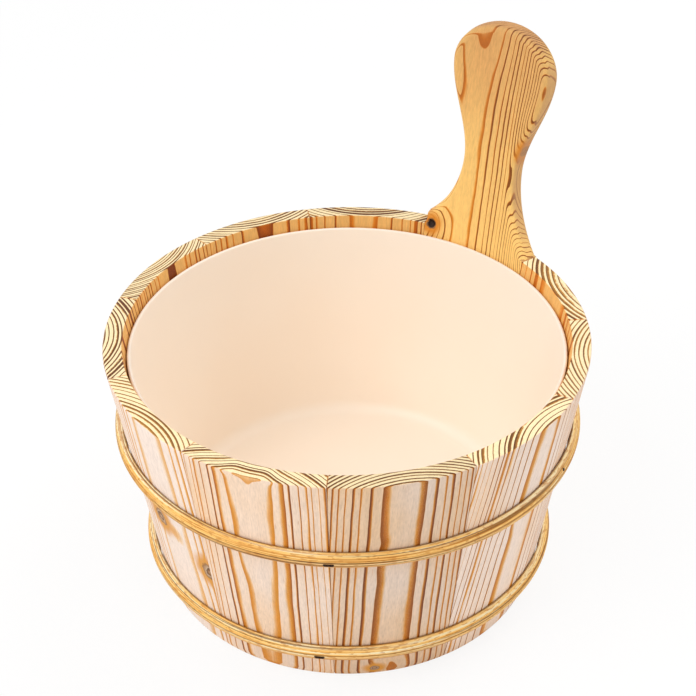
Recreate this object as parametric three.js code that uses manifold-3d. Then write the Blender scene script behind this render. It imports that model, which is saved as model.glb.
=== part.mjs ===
// Coopered sauna bucket: tapered staves round a board bottom, one stave grown into a paddle handle,
// two half-round wooden hoops stapled on, and a loose plastic liner that lifts out.
// Millimetres, +Z up, the handle stands on the +Y side, the floor is at z = 0.
import * as THREE from "three";
import { mergeVertices } from "three/addons/utils/BufferGeometryUtils.js";
import ManifoldModule from "manifold-3d";

const wasm = await ManifoldModule();
wasm.setup();

// Shell of staves
// Widths of the staves at the rim, counter-clockwise from the handle: they differ, as a cooper's staves do
const STAVE_WIDTHS = [73, 72, 70, 70, 74, 72, 74.5, 72, 72, 71, 65];
const RIM_RADIUS = 125; // outside, at the top
const BASE_RADIUS = 102.2; // outside, at the floor
const BODY_HEIGHT = 144;
const WALL = 10;
const RIM_CHAMFER = 0.8;
const BASE_CHAMFER = 1.5;
const JOINT_GAP = 0.2; // glue line between two staves, at the rim, or two bottom boards

// Bottom boards, held in a groove round the inside of the staves
const BOARD_COUNT = 3;
const BOARD_THICKNESS = 10;
const BOARD_LIFT = 10; // underside above the floor
const CROZE_DEPTH = 4;
const CROZE_CLEARANCE = 0.3;

// Paddle handle: heights are above the rim
const HANDLE_HEIGHT = 119.5;
const KNOB_WIDTH = 64.3;
const KNOB_HEIGHT = 96.9; // where the knob is widest
const NECK_WIDTH = 36.1;
const NECK_HEIGHT = 43.2; // where the neck is narrowest
const SHOULDER_RISES = [0.9, 4.6]; // full width carried up past the rim, on the clockwise and the other side
const INNER_ROUNDING = 4; // radius on the edges of the paddle's face towards the bucket
const OUTER_ROUNDING = 2.5;

// Hoops: half-round strips, flat side on the staves
const HOOP_HEIGHT = 9;
const HOOP_THICKNESS = 5;
const HOOP_CLEARANCE = 0.3;
const UPPER_HOOP_HEIGHT = 94.5; // middle of the strip above the floor
const LOWER_HOOP_HEIGHT = 20.8;
const SCARF_LENGTH = 26; // slanted overlap of the strip's two ends, behind the handle
const SCARF_GAP = 0.3;

// Staples of flat wire
const STAPLE_CROWN = 5.6; // outside width
const STAPLE_WIRE = 1.2;
const STAPLE_LEG = 11; // outside length, crown included
const STAPLE_BEND = 1.1; // outside radius of its two bends
const STAPLE_PROUD = 0.5; // how far the crown stands out of the hoop
const FASTENER_CLEARANCE = 0.2; // round staples and pin
const END_STAPLE_OFFSET = 20; // from the middle of the scarf, along the hoop
const LOWER_STAPLE_OFFSET = -6.6; // front staple of the lower hoop, from the joint of two staves

// Headless pin in the side of the upper hoop
const PIN_DIAMETER = 1.8;
const PIN_LENGTH = 10;
const PIN_PROUD = 0.2;
const PIN_RISE = 2.4; // above the middle of the hoop
const PIN_OFFSET = 2.4; // from the joint of two staves, along the hoop

// Loose liner
const LINER_WALL = 2;
const LINER_DROP = 6.5; // top edge below the rim
const LINER_CLEARANCE = 0.8; // to the staves
const LINER_SEAT_GAP = 0.3; // over the bottom boards
const LINER_FILLET = 8; // inside, between floor and wall

// Facets
const STAVE_STEPS = 8; // facets across one stave
const RING_STEPS = STAVE_WIDTHS.length * STAVE_STEPS;
const LINER_STEPS = 66;
const ARC_STEPS = 8;
const ROUNDING_STEPS = 3;

const sum = (widths) => widths.reduce((total, width) => total + width, 0);
const ANGLE_PER_WIDTH = (2 * Math.PI) / sum(STAVE_WIDTHS);
const HANDLE_AZIMUTH = Math.PI / 2;
const TAPER = (RIM_RADIUS - BASE_RADIUS) / BODY_HEIGHT;
const FRONT_JOINT = 6; // counted counter-clockwise from the handle
const SIDE_JOINT = 8;

const material = (color, roughness, metalness) => new THREE.MeshStandardMaterial({ color, roughness, metalness });
const STAVE_MATERIAL = material(0xe6cfb4, 0.6, 0);
const HANDLE_MATERIAL = material(0xdfae72, 0.6, 0);
const BOARD_MATERIAL = material(0xdcc39e, 0.7, 0);
const HOOP_MATERIAL = material(0xcfa468, 0.55, 0);
const LINER_MATERIAL = material(0xf6e6d8, 0.35, 0);
const STEEL_MATERIAL = material(0x3a3632, 0.4, 0.9);

function outsideRadius(height) {
  return BASE_RADIUS + TAPER * height;
}

// Angle of the joint that follows the given number of plain staves after the handle.
function jointAzimuth(count) {
  return HANDLE_AZIMUTH + (sum(STAVE_WIDTHS.slice(0, count + 1)) - STAVE_WIDTHS[0] / 2) * ANGLE_PER_WIDTH;
}

function staveAzimuth(number) {
  return jointAzimuth(number) - (STAVE_WIDTHS[number] / 2) * ANGLE_PER_WIDTH;
}

// Angle from a stave's middle to its joint face.
function halfAngle(number) {
  return (STAVE_WIDTHS[number] / 2) * ANGLE_PER_WIDTH - JOINT_GAP / (2 * RIM_RADIUS);
}

function toSolid(geometry) {
  const bare = new THREE.BufferGeometry();
  bare.setAttribute("position", geometry.getAttribute("position"));
  bare.setIndex(geometry.getIndex());
  const merged = mergeVertices(bare, 1e-3);
  const index = merged.getIndex().array;
  const kept = [];
  for (let i = 0; i < index.length; i += 3) {
    const [a, b, c] = [index[i], index[i + 1], index[i + 2]];
    if (a !== b && b !== c && c !== a) kept.push(a, b, c);
  }
  const mesh = new wasm.Mesh({
    numProp: 3,
    vertProperties: Float32Array.from(merged.getAttribute("position").array),
    triVerts: Uint32Array.from(kept),
  });
  mesh.merge();
  return new wasm.Manifold(mesh);
}

function toGeometry(solid) {
  const mesh = solid.getMesh();
  const geometry = new THREE.BufferGeometry();
  geometry.setAttribute("position", new THREE.BufferAttribute(Float32Array.from(mesh.vertProperties), 3));
  geometry.setIndex(new THREE.BufferAttribute(Uint32Array.from(mesh.triVerts), 1));
  geometry.computeVertexNormals();
  return geometry;
}

function cut(geometry, cutters) {
  let solid = toSolid(geometry);
  for (const cutter of cutters) solid = solid.subtract(toSolid(cutter));
  return toGeometry(solid);
}

// Revolves a closed outline of (radius, height) points about Z. The outline runs counter-clockwise.
function revolve(outline, steps) {
  const points = [...outline, outline[0]].map(([radius, height]) => new THREE.Vector2(radius, height));
  return new THREE.LatheGeometry(points, steps).rotateX(Math.PI / 2);
}

// Closed solid from a grid of rows (bottom to top), each row a list of outside and inside points across the width.
function loft(rows) {
  const columns = rows[0].length;
  const positions = rows.flat().flatMap(({ outside, inside }) => [...outside, ...inside]);
  const outer = (row, column) => 2 * (row * columns + column);
  const inner = (row, column) => outer(row, column) + 1;
  const index = [];
  const quad = (a, b, c, d) => index.push(a, b, c, a, c, d);
  const last = columns - 1;
  for (let row = 0; row + 1 < rows.length; row++) {
    for (let column = 0; column < last; column++) {
      quad(outer(row, column), outer(row, column + 1), outer(row + 1, column + 1), outer(row + 1, column));
      quad(inner(row, column + 1), inner(row, column), inner(row + 1, column), inner(row + 1, column + 1));
    }
    quad(inner(row, 0), outer(row, 0), outer(row + 1, 0), inner(row + 1, 0));
    quad(outer(row, last), inner(row, last), inner(row + 1, last), outer(row + 1, last));
  }
  const top = rows.length - 1;
  for (let column = 0; column < last; column++) {
    quad(inner(0, column), inner(0, column + 1), outer(0, column + 1), outer(0, column));
    quad(outer(top, column), outer(top, column + 1), inner(top, column + 1), inner(top, column));
  }
  const geometry = new THREE.BufferGeometry();
  geometry.setAttribute("position", new THREE.Float32BufferAttribute(positions, 3));
  geometry.setIndex(index);
  return geometry;
}

// Point of the tapered wall, at a depth below its outside face. The stave is centred on +X.
function wallPoint(angle, height, depth) {
  const radius = outsideRadius(height) - depth;
  return [radius * Math.cos(angle), radius * Math.sin(angle), height];
}

// One row of a stave, with points at the given angles from its middle.
function staveRow(height, outsideDepth, insideDepth, angles) {
  return angles.map((angle) => ({
    outside: wallPoint(angle, height, outsideDepth),
    inside: wallPoint(angle, height, insideDepth),
  }));
}

function plainStave(number) {
  const reach = halfAngle(number);
  const angles = Array.from({ length: STAVE_STEPS + 1 }, (_, i) => reach * ((2 * i) / STAVE_STEPS - 1));
  return loft([
    staveRow(0, BASE_CHAMFER, WALL, angles),
    staveRow(BASE_CHAMFER, 0, WALL, angles),
    staveRow(BODY_HEIGHT - RIM_CHAMFER, 0, WALL, angles),
    staveRow(BODY_HEIGHT, RIM_CHAMFER, WALL - RIM_CHAMFER, angles),
  ]);
}

// Outline of the paddle: shoulders, a hollow arc up to the neck, an S-curve out to the knob, an elliptical top.
const NECK_HALF = NECK_WIDTH / 2;
const KNOB_HALF = KNOB_WIDTH / 2;
const KNOB_TOP = HANDLE_HEIGHT - KNOB_HEIGHT;
const SHOULDER_HALF = RIM_RADIUS * halfAngle(0);
const SHOULDER_SPREAD = SHOULDER_HALF - NECK_HALF;

// Distance from the paddle's middle line to its outline. The side is 0 clockwise of the line and 1 on the other.
function paddleHalfWidth(up, side) {
  if (up > KNOB_HEIGHT) return KNOB_HALF * Math.sqrt(Math.max(1 - ((up - KNOB_HEIGHT) / KNOB_TOP) ** 2, 0));
  if (up > NECK_HEIGHT) {
    return NECK_HALF + (KNOB_HALF - NECK_HALF) * THREE.MathUtils.smoothstep(up, NECK_HEIGHT, KNOB_HEIGHT);
  }
  const run = NECK_HEIGHT - SHOULDER_RISES[side];
  const radius = (SHOULDER_SPREAD ** 2 + run ** 2) / (2 * SHOULDER_SPREAD);
  return NECK_HALF + radius - Math.sqrt(radius ** 2 - Math.min(NECK_HEIGHT - up, run) ** 2);
}

// Distance from a point of the paddle to its outline, for a point across the width and up from the rim.
function edgeDistance(across, up) {
  if (up > KNOB_HEIGHT) {
    const x = across / KNOB_HALF;
    const y = (up - KNOB_HEIGHT) / KNOB_TOP;
    const share = Math.hypot(x, y);
    return ((1 - share) * share) / Math.hypot(x / KNOB_HALF, y / KNOB_TOP);
  }
  const side = across < 0 ? 0 : 1;
  const step = 0.1;
  const slope = (paddleHalfWidth(up + step, side) - paddleHalfWidth(up, side)) / step;
  return (paddleHalfWidth(up, side) - Math.abs(across)) / Math.hypot(1, slope);
}

// How far a rounded edge falls back from its face, at a distance from the outline.
function roundingDrop(distance, radius) {
  const reach = THREE.MathUtils.clamp(radius - distance, 0, radius);
  return radius - Math.sqrt(radius ** 2 - reach ** 2);
}

// Distances from an edge at which the roundings are faceted, from the edge inwards.
const ROUNDING_OFFSETS = Array.from({ length: ROUNDING_STEPS + 1 }, (_, i) => {
  return INNER_ROUNDING * (1 - Math.cos((Math.PI / 2) * (i / ROUNDING_STEPS)));
});

// Places across a row between its two ends: close together on the roundings, even between them.
function paddleColumns(low, high) {
  const squeeze = Math.min(1, (high - low) / (4 * INNER_ROUNDING));
  const left = ROUNDING_OFFSETS.map((offset) => low + offset * squeeze);
  const right = ROUNDING_OFFSETS.map((offset) => high - offset * squeeze).reverse();
  const from = left[ROUNDING_STEPS];
  const pitch = (right[0] - from) / STAVE_STEPS;
  return [...left, ...Array.from({ length: STAVE_STEPS - 1 }, (_, i) => from + pitch * (i + 1)), ...right];
}

function paddleRow(up) {
  const height = BODY_HEIGHT + up;
  return paddleColumns(-paddleHalfWidth(up, 0), paddleHalfWidth(up, 1)).map((across) => {
    const angle = across / outsideRadius(height);
    const distance = edgeDistance(across, up);
    return {
      outside: wallPoint(angle, height, roundingDrop(distance, OUTER_ROUNDING)),
      inside: wallPoint(angle, height, WALL - roundingDrop(distance, INNER_ROUNDING)),
    };
  });
}

// Heights of the paddle's rows, above the rim.
function paddleHeights() {
  const spread = (from, to, steps) => Array.from({ length: steps }, (_, i) => from + ((to - from) * i) / steps);
  const lastAngle = Math.asin((KNOB_TOP - INNER_ROUNDING) / KNOB_TOP);
  const [lowRise, highRise] = SHOULDER_RISES;
  return [
    0,
    lowRise,
    ...spread(highRise, NECK_HEIGHT, ARC_STEPS),
    ...spread(NECK_HEIGHT, KNOB_HEIGHT, ARC_STEPS),
    ...spread(0, lastAngle, ARC_STEPS / 2).map((angle) => KNOB_HEIGHT + KNOB_TOP * Math.sin(angle)),
    ...ROUNDING_OFFSETS.map((offset) => HANDLE_HEIGHT - offset).reverse(),
  ];
}

function handleStave() {
  const angles = paddleColumns(-SHOULDER_HALF, SHOULDER_HALF).map((across) => across / RIM_RADIUS);
  return loft([
    staveRow(0, BASE_CHAMFER, WALL, angles),
    staveRow(BASE_CHAMFER, 0, WALL, angles),
    staveRow(BODY_HEIGHT, 0, WALL, angles),
    ...paddleHeights().map(paddleRow),
  ]);
}

// Groove round the inside of the staves, and the boards that fill it.
const BOARD_TOP = BOARD_LIFT + BOARD_THICKNESS;
const CROZE_RADIUS = outsideRadius(BOARD_LIFT + BOARD_THICKNESS / 2) - WALL + CROZE_DEPTH;

function crozeCutter() {
  const inside = BASE_RADIUS - 2 * WALL;
  const low = BOARD_LIFT - CROZE_CLEARANCE;
  const high = BOARD_TOP + CROZE_CLEARANCE;
  return revolve([[inside, low], [CROZE_RADIUS, low], [CROZE_RADIUS, high], [inside, high]], RING_STEPS);
}

function bottomBoard(number) {
  const radius = CROZE_RADIUS - CROZE_CLEARANCE;
  const width = (2 * radius) / BOARD_COUNT;
  const disc = new THREE.CylinderGeometry(radius, radius, BOARD_THICKNESS, RING_STEPS).rotateX(Math.PI / 2);
  const slab = new THREE.BoxGeometry(width - JOINT_GAP, 3 * radius, 2 * BOARD_THICKNESS);
  slab.translate((number - (BOARD_COUNT + 1) / 2) * width, 0, 0);
  return toGeometry(toSolid(disc).intersect(toSolid(slab)));
}

// Half-round strip, its flat back on the tapered wall. Heights are above the floor.
function hoopRing(middle) {
  const outline = [];
  for (let i = 0; i <= ARC_STEPS; i++) {
    const turn = Math.PI * (i / ARC_STEPS - 0.5);
    const height = middle + (HOOP_HEIGHT / 2) * Math.sin(turn);
    outline.push([outsideRadius(height) + HOOP_CLEARANCE + HOOP_THICKNESS * Math.cos(turn), height]);
  }
  return revolve(outline, RING_STEPS);
}

// Thin slanted slab that parts the strip into two tapered ends, centred on +X.
function scarfCutter(middle) {
  const inside = outsideRadius(middle) - HOOP_THICKNESS;
  const depth = 3 * HOOP_THICKNESS;
  const slant = (SCARF_LENGTH / HOOP_THICKNESS) * depth;
  const slot = SCARF_GAP * Math.hypot(1, SCARF_LENGTH / HOOP_THICKNESS);
  const shape = new THREE.Shape();
  const start = (-SCARF_LENGTH / HOOP_THICKNESS) * (1.5 * HOOP_THICKNESS);
  shape.moveTo(inside, start);
  shape.lineTo(inside + depth, start + slant);
  shape.lineTo(inside + depth, start + slant + slot);
  shape.lineTo(inside, start + slot);
  const slab = new THREE.ExtrudeGeometry(shape, { depth: 2 * HOOP_HEIGHT, bevelEnabled: false });
  return slab.translate(0, 0, middle - HOOP_HEIGHT);
}

// Staple in its seat in a hoop, centred on +X: the crown lies along the hoop, the legs point to the axis.
// A positive growth gives the cutter for its hole.
function stapleGeometry(middle, growth) {
  const crown = outsideRadius(middle) + HOOP_CLEARANCE + HOOP_THICKNESS + STAPLE_PROUD + growth;
  const tip = crown - STAPLE_LEG - 2 * growth;
  const half = STAPLE_CROWN / 2 + growth;
  const wire = STAPLE_WIRE + 2 * growth;
  const shape = new THREE.Shape();
  shape.moveTo(tip, -half + wire);
  shape.lineTo(tip, -half);
  shape.lineTo(crown - STAPLE_BEND, -half);
  shape.absarc(crown - STAPLE_BEND, -half + STAPLE_BEND, STAPLE_BEND, -Math.PI / 2, 0, false);
  shape.absarc(crown - STAPLE_BEND, half - STAPLE_BEND, STAPLE_BEND, 0, Math.PI / 2, false);
  shape.lineTo(tip, half);
  shape.lineTo(tip, half - wire);
  shape.lineTo(crown - wire, half - wire);
  shape.lineTo(crown - wire, -half + wire);
  const staple = new THREE.ExtrudeGeometry(shape, { depth: wire, bevelEnabled: false, curveSegments: 3 });
  return staple.translate(0, 0, middle - wire / 2);
}

// Pin in its seat in the upper hoop, centred on +X and pointing to the axis.
function pinGeometry(growth) {
  const height = UPPER_HOOP_HEIGHT + PIN_RISE;
  const thickness = HOOP_THICKNESS * Math.sqrt(1 - (PIN_RISE / (HOOP_HEIGHT / 2)) ** 2);
  const end = outsideRadius(height) + HOOP_CLEARANCE + thickness + PIN_PROUD + growth;
  const length = PIN_LENGTH + 2 * growth;
  const radius = PIN_DIAMETER / 2 + growth;
  const pin = new THREE.CylinderGeometry(radius, radius, length, 2 * ARC_STEPS).rotateZ(Math.PI / 2);
  return pin.translate(end - length / 2, 0, height);
}

// Cup with a rounded floor corner, following the taper of the staves.
function linerCup() {
  const seat = BOARD_TOP + LINER_SEAT_GAP;
  const top = BODY_HEIGHT - LINER_DROP;
  const wallRadius = (height) => outsideRadius(height) - WALL - LINER_CLEARANCE;
  const lean = Math.atan(TAPER);
  // Corner arc tangent to the floor and to the leaning wall, from the floor up.
  const corner = (radius, floor, inset) => {
    const centreRadius = wallRadius(floor + radius) - inset - radius / Math.cos(lean);
    return Array.from({ length: ARC_STEPS / 2 + 1 }, (_, i) => {
      const turn = -Math.PI / 2 + (Math.PI / 2 - lean) * (i / (ARC_STEPS / 2));
      return [centreRadius + radius * Math.cos(turn), floor + radius + radius * Math.sin(turn)];
    });
  };
  const edge = LINER_WALL / 4;
  return revolve([
    [0, seat],
    ...corner(LINER_FILLET + LINER_WALL, seat, 0),
    [wallRadius(top - edge), top - edge],
    [wallRadius(top) - edge, top],
    [wallRadius(top) - LINER_WALL + edge, top],
    [wallRadius(top - edge) - LINER_WALL, top - edge],
    ...corner(LINER_FILLET, seat + LINER_WALL, LINER_WALL).reverse(),
    [0, seat + LINER_WALL],
  ], LINER_STEPS);
}

function addMesh(parent, name, geometry, meshMaterial, azimuth = 0) {
  const mesh = new THREE.Mesh(geometry, meshMaterial.clone());
  mesh.name = name;
  mesh.rotation.z = azimuth;
  parent.add(mesh);
  return mesh;
}

// Angle round the bucket that an arc length along a hoop spans.
function hoopAngle(length, middle) {
  return length / (outsideRadius(middle) + HOOP_THICKNESS);
}

function endStaples(prefix, middle) {
  const turn = hoopAngle(END_STAPLE_OFFSET, middle);
  return [
    { name: `${prefix}_staple_right_end`, middle, azimuth: HANDLE_AZIMUTH - turn },
    { name: `${prefix}_staple_left_end`, middle, azimuth: HANDLE_AZIMUTH + turn },
  ];
}

const STAPLES = [
  { name: "upper_staple_front", middle: UPPER_HOOP_HEIGHT, azimuth: jointAzimuth(FRONT_JOINT) },
  ...endStaples("upper", UPPER_HOOP_HEIGHT),
  {
    name: "lower_staple_front",
    middle: LOWER_HOOP_HEIGHT,
    azimuth: jointAzimuth(FRONT_JOINT) + hoopAngle(LOWER_STAPLE_OFFSET, LOWER_HOOP_HEIGHT),
  },
  ...endStaples("lower", LOWER_HOOP_HEIGHT),
];
const PIN = {
  name: "upper_pin_side",
  middle: UPPER_HOOP_HEIGHT,
  azimuth: jointAzimuth(SIDE_JOINT) + hoopAngle(PIN_OFFSET, UPPER_HOOP_HEIGHT),
};
const FASTENERS = [
  ...STAPLES.map((staple) => ({ ...staple, shape: (growth) => stapleGeometry(staple.middle, growth) })),
  { ...PIN, shape: pinGeometry },
];

// Holes for the staples and the pin, as seen by a piece turned to the given azimuth.
function fastenerHoles(azimuth, isNear) {
  return FASTENERS.filter(isNear).map((fastener) => {
    return fastener.shape(FASTENER_CLEARANCE).rotateZ(fastener.azimuth - azimuth);
  });
}

const bucket = new THREE.Group();
bucket.name = "bucket";

const staves = new THREE.Group();
staves.name = "staves";
bucket.add(staves);
for (let number = 0; number < STAVE_WIDTHS.length; number++) {
  const azimuth = staveAzimuth(number);
  const isNear = (fastener) => Math.cos(fastener.azimuth - azimuth) > Math.cos(2 * halfAngle(number));
  const board = number === 0 ? handleStave() : plainStave(number);
  const geometry = cut(board, [crozeCutter(), ...fastenerHoles(azimuth, isNear)]);
  const name = number === 0 ? "handle_stave" : `stave_${number}`;
  addMesh(staves, name, geometry, number === 0 ? HANDLE_MATERIAL : STAVE_MATERIAL, azimuth);
}

const bottom = new THREE.Group();
bottom.name = "bottom";
bottom.position.z = BOARD_LIFT + BOARD_THICKNESS / 2;
bucket.add(bottom);
for (let number = 1; number <= BOARD_COUNT; number++) {
  addMesh(bottom, `bottom_board_${number}`, bottomBoard(number), BOARD_MATERIAL);
}

for (const [name, middle] of [["upper_hoop", UPPER_HOOP_HEIGHT], ["lower_hoop", LOWER_HOOP_HEIGHT]]) {
  const scarf = scarfCutter(middle).rotateZ(HANDLE_AZIMUTH);
  const holes = fastenerHoles(0, (fastener) => fastener.middle === middle);
  addMesh(bucket, name, cut(hoopRing(middle), [scarf, ...holes]), HOOP_MATERIAL);
}

for (const { name, shape, azimuth } of FASTENERS) {
  addMesh(bucket, name, toGeometry(toSolid(shape(0))), STEEL_MATERIAL, azimuth);
}

addMesh(bucket, "liner", toGeometry(toSolid(linerCup())), LINER_MATERIAL);

// The origin is on the floor under the middle of the overall box, a little off the bucket's axis.
const part = new THREE.Group();
part.name = "sauna_bucket";
part.add(bucket);
const middle = new THREE.Box3().setFromObject(part, true).getCenter(new THREE.Vector3());
bucket.position.set(-middle.x, -middle.y, 0);

export default part;
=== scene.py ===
"""Sauna bucket with pine staves, a paddle handle, wooden hoops, staples and a loose liner.

Metres, +Z up, handle on the +Y side. Every wooden piece knows its points' places in the log that it was
sawn from, so that one pine material draws growth rings through faces, edges and end grain.
"""
import math
from collections import namedtuple
from dataclasses import dataclass

import bpy
from mathutils import Matrix, Vector


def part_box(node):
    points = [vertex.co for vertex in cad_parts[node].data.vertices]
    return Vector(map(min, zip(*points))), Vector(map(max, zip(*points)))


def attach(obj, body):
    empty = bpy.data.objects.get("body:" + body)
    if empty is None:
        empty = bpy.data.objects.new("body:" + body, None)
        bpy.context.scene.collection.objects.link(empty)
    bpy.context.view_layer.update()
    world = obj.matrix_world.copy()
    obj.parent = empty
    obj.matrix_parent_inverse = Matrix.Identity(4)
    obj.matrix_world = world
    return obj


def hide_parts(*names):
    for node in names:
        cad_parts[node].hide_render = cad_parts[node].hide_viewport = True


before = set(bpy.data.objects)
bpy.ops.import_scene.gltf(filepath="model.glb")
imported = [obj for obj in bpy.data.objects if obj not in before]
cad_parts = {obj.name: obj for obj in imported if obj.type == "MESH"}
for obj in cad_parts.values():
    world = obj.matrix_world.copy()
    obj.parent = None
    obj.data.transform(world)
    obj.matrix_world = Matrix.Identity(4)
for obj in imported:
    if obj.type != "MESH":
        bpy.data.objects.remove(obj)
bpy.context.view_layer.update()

MM = 0.001
QUARTER = math.pi / 2
FULL_TURN = 2 * math.pi

# Sizes of the shell, as in the solids; the handle's stave comes first
STAVE_WIDTHS = [width * MM for width in (73, 72, 70, 70, 74, 72, 74.5, 72, 72, 71, 65)]
RIM_RADIUS = 125 * MM
BASE_RADIUS = 102.2 * MM
WALL = 10 * MM
PLANED = 0.1 * MM  # taken off the outer faces, to stay inside the solids' facets
RIM_ROUNDING = 0.8 * MM
BASE_ROUNDING = 1.5 * MM
JOINT_GAP = 0.2 * MM
JOINT_BEVEL = 0.25 * MM
BOARD_COUNT = 3
BOARD_THICKNESS = 10 * MM
BOARD_LIFT = 10 * MM
BOARD_POINT = 0.5 * MM  # half length that a bottom board keeps where it runs to a point
CROZE_DEPTH = 4 * MM
CROZE_CLEARANCE = 0.3 * MM
CROZE_EDGE = 0.1 * MM  # height of the groove's slanted edges in the handle stave

# Paddle handle: heights are above the rim
HANDLE_AZIMUTH = QUARTER
KNOB_WIDTH = 64.3 * MM
KNOB_HEIGHT = 96.9 * MM  # where the knob is widest
NECK_WIDTH = 36.1 * MM
NECK_HEIGHT = 43.2 * MM  # where the neck is narrowest
SHOULDER_RISES = (0.9 * MM, 4.6 * MM)  # full width carried past the rim, clockwise and on the other side
INNER_ROUNDING = 4 * MM
OUTER_ROUNDING = 2.5 * MM
TIP_CUT = 0.002 * MM  # taken off the tip, so that its last row has some width
PIT_DEPTH = 2.5 * MM
PIT_RADIUS = 2.6 * MM
PIT_STRETCH = 8 * MM  # height under the rim that has close rows for the hollow of the loose knot

# Hoops
HOOP_HEIGHT = 9 * MM
HOOP_THICKNESS = 5 * MM
HOOP_CLEARANCE = 0.3 * MM
HOOP_MIDDLES = {"upper": 94.5 * MM, "lower": 20.8 * MM}
HOOP_GROOVE_TURN = math.radians(13)  # round the half-round face, from its crest upwards
HOOP_GROOVE_SPREAD = math.radians(5)
HOOP_GROOVE_DEPTH = 0.35 * MM
HOOP_WANDER = 0.25 * MM
HOOP_VARIETY = 40  # per metre of height, which makes the two differ in wander and grain
SCARF_LENGTH = 26 * MM
SCARF_GAP = 0.3 * MM
SCARF_TIP = 0.05 * MM  # thickness that a slanted end keeps

# Staples and pin
STAPLE_CROWN = 5.6 * MM
STAPLE_WIRE = 1.2 * MM
WIRE_ROUNDING = 0.25 * MM
STAPLE_LEG = 11 * MM
STAPLE_BEND = 1.1 * MM
STAPLE_PROUD = 0.5 * MM
END_STAPLE_OFFSET = 20 * MM
LOWER_STAPLE_OFFSET = -6.6 * MM
PIN_DIAMETER = 1.8 * MM
PIN_LENGTH = 10 * MM
PIN_PROUD = 0.2 * MM
PIN_RISE = 2.4 * MM  # above the middle of the hoop
PIN_OFFSET = 2.4 * MM  # from the joint of two staves, along the hoop
FRONT_JOINT = 6
SIDE_JOINT = 8

# Loose liner
LINER_WALL = 2 * MM
LINER_CLEARANCE = 0.8 * MM
LINER_FILLET = 8 * MM
LINER_CENTRE = 0.5 * MM  # radius of the round face in the middle of its floor

# Places read from the frame
liner_low, liner_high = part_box("liner")
AXIS = Vector(((liner_low.x + liner_high.x) / 2, (liner_low.y + liner_high.y) / 2, 0))
LINER_SEAT = liner_low.z
LINER_TOP = liner_high.z
BODY_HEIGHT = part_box("stave_1")[1].z
HANDLE_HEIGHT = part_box("handle_stave")[1].z - BODY_HEIGHT

# The photograph's camera, about the bucket's axis
CAMERA_DISTANCE = 950.96 * MM
CAMERA_ELEVATION = math.radians(35.454)
CAMERA_ROLL = math.radians(-0.539)
CAMERA_ASIDE = -0.52 * MM
CAMERA_RAISED = 108.58 * MM
CAMERA_NEAR = 10 * MM
CAMERA_FOCAL_PIXELS = 1690.6
IMAGE_PIXELS = 696
SENSOR_MM = 36
HANDLE_BEARING = math.radians(50.52)  # of the handle, counter-clockwise from the picture's right

# Studio: each lamp's place, rightwards, away and up in the picture from the bucket's axis, and its power
LAMPS = {"key": ((-0.95, -0.6, 1.35), 11.5), "fill": ((0.9, 0.6, 1.5), 9.0)}
LAMP_SIZE = 1.2
AMBIENT = 0.68
WHITE = (1, 1, 1, 1)
FLOOR_COLOUR = (0.97, 0.97, 0.97, 1)
FLOOR_SIZE = 6.0
FLOOR_DROP = 0.05 * MM  # under the feet of the staves
FLOOR_WHITE = 0.85  # share of the floor's white that no shadow darkens

# Facets
STAVE_STEPS = 48
STAVE_ROWS = 72
INNER_ROWS = 8
HANDLE_ROWS = 10
PIT_ROWS = 20
PADDLE_STEPS = 80
RING_STEPS = 180
ARC_STEPS = 10
EDGE_STEPS = 4  # of the small rounded edges of staves and pin
BEND_STEPS = 5
WIRE_EDGE_STEPS = 2
HOOP_FRONT_STEPS = 28
HOOP_BACK_STEPS = 8
LINER_ROWS = 10
LINER_FLOOR_RINGS = 6
CREASE = 35  # degrees between faces from which an edge is shaded sharp
ROUNDED_CREASE = 60  # the same, on the handle and the liner

TAPER = (RIM_RADIUS - BASE_RADIUS) / BODY_HEIGHT
LEAN = math.atan(TAPER)
ANGLE_PER_WIDTH = FULL_TURN / sum(STAVE_WIDTHS)
BOARD_TOP = BOARD_LIFT + BOARD_THICKNESS
CROZE_LOW = BOARD_LIFT - CROZE_CLEARANCE
CROZE_HIGH = BOARD_TOP + CROZE_CLEARANCE


def outside_radius(height):
    return BASE_RADIUS + TAPER * height


def inside_radius(height):
    return outside_radius(height) - WALL


CROZE_RADIUS = inside_radius(BOARD_LIFT + BOARD_THICKNESS / 2) + CROZE_DEPTH


def joint_azimuth(count):
    """Angle of the joint after the given number of plain staves from the handle."""
    return HANDLE_AZIMUTH + (sum(STAVE_WIDTHS[: count + 1]) - STAVE_WIDTHS[0] / 2) * ANGLE_PER_WIDTH


def stave_azimuth(number):
    return joint_azimuth(number) - STAVE_WIDTHS[number] / 2 * ANGLE_PER_WIDTH


def half_angle(number):
    """Angle from a stave's middle to its joint face."""
    return STAVE_WIDTHS[number] / 2 * ANGLE_PER_WIDTH - JOINT_GAP / (2 * RIM_RADIUS)


def hoop_angle(length, middle):
    """Angle round the bucket that a length along a hoop spans."""
    return length / (outside_radius(middle) + HOOP_THICKNESS)


def polar(radius, angle, height):
    """Point at an angle round the bucket's own axis."""
    return Vector((AXIS.x + radius * math.cos(angle), AXIS.y + radius * math.sin(angle), height))


def directions(azimuth):
    """Level directions at an angle round the axis: outwards and counter-clockwise."""
    outwards = Vector((math.cos(azimuth), math.sin(azimuth), 0))
    along = Vector((-math.sin(azimuth), math.cos(azimuth), 0))
    return outwards, along


def steps(start, end, count):
    """Evenly spaced values, both ends included."""
    return [start + (end - start) * i / count for i in range(count + 1)]


def between(pair, share):
    """Value at a share of the way from a pair's first to its second, or beyond it."""
    return pair[0] + (pair[1] - pair[0]) * share


def arc(centre, radius, start, end, count):
    """Points of a plane arc, angles in radians."""
    x, y = centre
    return [(x + radius * math.cos(a), y + radius * math.sin(a)) for a in steps(start, end, count)]


# How the boards were sawn

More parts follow.
